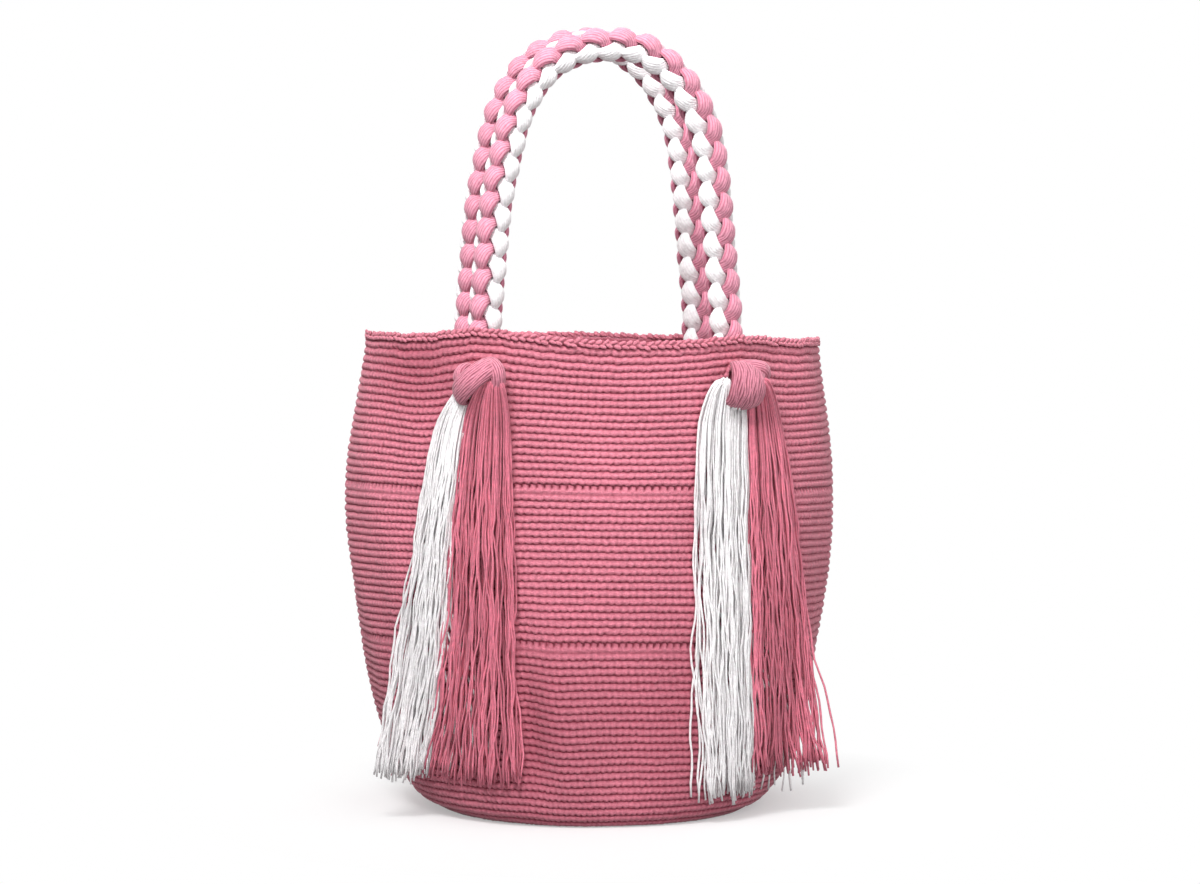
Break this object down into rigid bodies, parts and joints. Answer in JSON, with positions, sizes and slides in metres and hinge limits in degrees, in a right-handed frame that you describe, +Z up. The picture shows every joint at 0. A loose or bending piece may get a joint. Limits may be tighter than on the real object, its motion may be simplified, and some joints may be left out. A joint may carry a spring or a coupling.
{
  "type": "crocheted mochila bag",
  "caption": "Crocheted bucket bag, oval in section, with braided rope handles that pass through eyelets below the rim and end in knots and long yarn tassels.",
  "frame": {"origin": "centre of the base, on the surface that the bag stands on", "axes": "+Z up, the front faces -Y, +X to the right seen from the front"},
  "size_m": [0.292, 0.2032, 0.4662],
  "materials": {
    "crochet_rose": "matte crocheted yarn",
    "yarn_pink": "soft twisted yarn",
    "yarn_white": "soft twisted yarn"
  },
  "bodies": {
    "root": {"crochet_body": "crochet_rose", "front_handle_pink_strand_1": "yarn_pink", "front_handle_pink_strand_2": "yarn_pink", "front_handle_white_strand_1": "yarn_white", "front_handle_white_strand_2": "yarn_white", "back_handle_pink_strand_1": "yarn_pink", "back_handle_pink_strand_2": "yarn_pink", "back_handle_white_strand_1": "yarn_white", "back_handle_white_strand_2": "yarn_white", "knot_front_left": "yarn_pink", "knot_front_right": "yarn_pink", "knot_back_left": "yarn_pink", "knot_back_right": "yarn_pink", "tassel_front_left_white": "yarn_white", "tassel_front_left_pink": "yarn_pink", "tassel_front_right_white": "yarn_white", "tassel_front_right_pink": "yarn_pink", "tassel_back_left_white": "yarn_white", "tassel_back_left_pink": "yarn_pink", "tassel_back_right_white": "yarn_white", "tassel_back_right_pink": "yarn_pink"}
  },
  "joints": []
}
